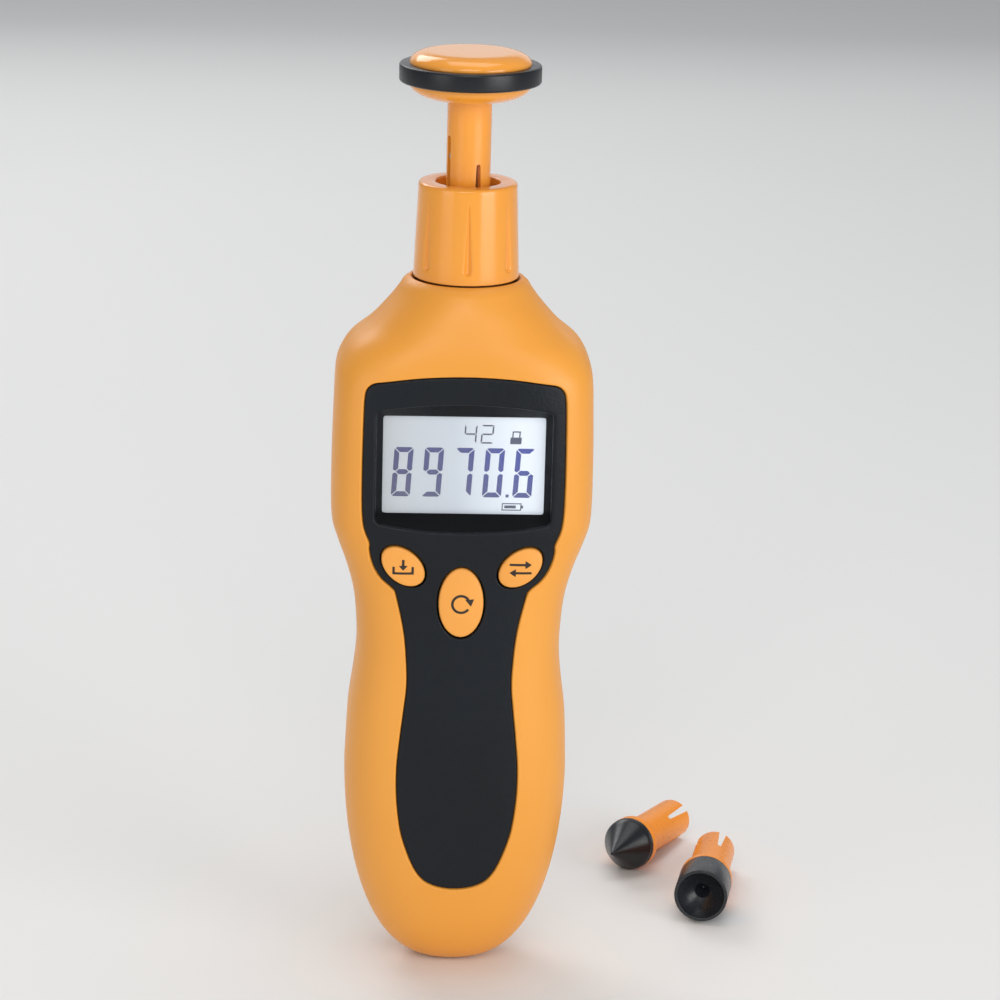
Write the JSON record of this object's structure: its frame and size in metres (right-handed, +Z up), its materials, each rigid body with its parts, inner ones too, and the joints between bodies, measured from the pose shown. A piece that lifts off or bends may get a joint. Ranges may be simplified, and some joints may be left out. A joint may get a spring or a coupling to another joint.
{
  "type": "contact tachometer",
  "caption": "Hand-held contact tachometer: waisted case, sunken number display, keys, and a pull-off adapter whose ball-bearing spindle takes a rubber-tyred wheel or loose cone and funnel tips.",
  "frame": {"origin": "on the drive axis at the waist of the handle, where a hand holds the case", "axes": "+Z up the drive axis from the foot to the wheel; the front panel and keys face -Y; -X is the user's left, with the supply inlet"},
  "size_m": [0.1067, 0.0995, 0.2236],
  "materials": {
    "case": "satin",
    "panel": "satin",
    "window": "clear",
    "cell": "matt",
    "white_plastic": "satin",
    "dark_plastic": "satin",
    "grey_plastic": "satin",
    "zebra": "matt",
    "board": "satin",
    "steel": "brushed",
    "battery_case": "satin",
    "red_cable": "satin",
    "foam": "matt",
    "key": "satin",
    "tip": "satin",
    "rubber": "matt",
    "brass_cage": "satin",
    "dark_window": "clear"
  },
  "bodies": {
    "instrument": {"front_housing": "case", "rear_housing": "case", "front_panel": "panel", "display_window": "window", "lcd_cell": "cell", "lcd_frame": "white_plastic", "contact_strips": "zebra", "main_board": "board", "board_parts": "dark_plastic", "board_screws": "steel", "key_switches": "dark_plastic", "dc_jack": "dark_plastic", "dc_jack_pin": "steel", "battery": "battery_case", "battery_snap": "dark_plastic", "battery_lead_red": "red_cable", "battery_lead_black": "dark_plastic", "case_screws": "steel", "nose_sleeve": "dark_plastic", "pickup_window": "dark_window", "pickup_block": "dark_plastic", "pickup_pair": "dark_window"},
    "battery_door": {"battery_door": "case", "battery_pad": "foam", "door_screw": "steel"},
    "memory_key": {"memory_key": "key", "memory_plunger": "white_plastic"},
    "mode_key": {"mode_key": "key", "mode_plunger": "white_plastic"},
    "measure_key": {"measure_key": "key", "measure_plunger": "white_plastic"},
    "adapter": {"adapter_collar": "tip", "adapter_seal": "rubber", "bearing_outer_rings": "steel", "outer_spacer": "steel", "bearing_retainer": "dark_plastic"},
    "ball_train": {"bearing_balls": "steel", "bearing_cages": "brass_cage"},
    "spindle": {"spindle": "steel", "bearing_inner_rings": "steel", "inner_spacer": "steel", "drive_pin": "steel", "pickup_disc": "dark_plastic", "disc_screw": "steel"},
    "wheel": {"wheel_hub": "tip", "wheel_tyre": "rubber"},
    "cone_tip": {"cone_holder": "tip", "cone_rubber": "rubber"},
    "funnel_tip": {"funnel_holder": "tip", "funnel_rubber": "rubber"}
  },
  "joints": [
    {"name": "adapter_pull", "type": "slide", "parent": "instrument", "child": "adapter", "axis": [0, 0, 1], "range_m": [0, 0.02]},
    {"name": "spindle_spin", "type": "hinge", "parent": "adapter", "child": "spindle", "pos_m": [0, 0, 0.09], "axis": [0, 0, 1], "continuous": true},
    {"name": "ball_spin", "type": "hinge", "parent": "adapter", "child": "ball_train", "pos_m": [0, 0, 0.09], "axis": [0, 0, 1], "continuous": true},
    {"name": "wheel_pull", "type": "slide", "parent": "spindle", "child": "wheel", "axis": [0, 0, 1], "range_m": [0, 0.019]},
    {"name": "memory_press", "type": "slide", "parent": "instrument", "child": "memory_key", "axis": [0, 1, 0], "range_m": [0, 0.0006], "stiffness_N_per_m": 800, "springref_m": -0.0008},
    {"name": "mode_press", "type": "slide", "parent": "instrument", "child": "mode_key", "axis": [0, 1, 0], "range_m": [0, 0.0006], "stiffness_N_per_m": 800, "springref_m": -0.0008},
    {"name": "measure_press", "type": "slide", "parent": "instrument", "child": "measure_key", "axis": [0, 1, 0], "range_m": [0, 0.0006], "stiffness_N_per_m": 800, "springref_m": -0.0008},
    {"name": "battery_door_lift", "type": "slide", "parent": "instrument", "child": "battery_door", "axis": [0, 1, 0], "range_m": [0, 0.03]},
    {"name": "cone_tip_lift", "type": "slide", "parent": "instrument", "child": "cone_tip", "axis": [0, 0, 1], "range_m": [0, 0.05]},
    {"name": "funnel_tip_lift", "type": "slide", "parent": "instrument", "child": "funnel_tip", "axis": [0, 0, 1], "range_m": [0, 0.05]}
  ],
  "couplings": [
    {"joint": "ball_spin", "follows": "spindle_spin", "ratio": 0.40625}
  ]
}
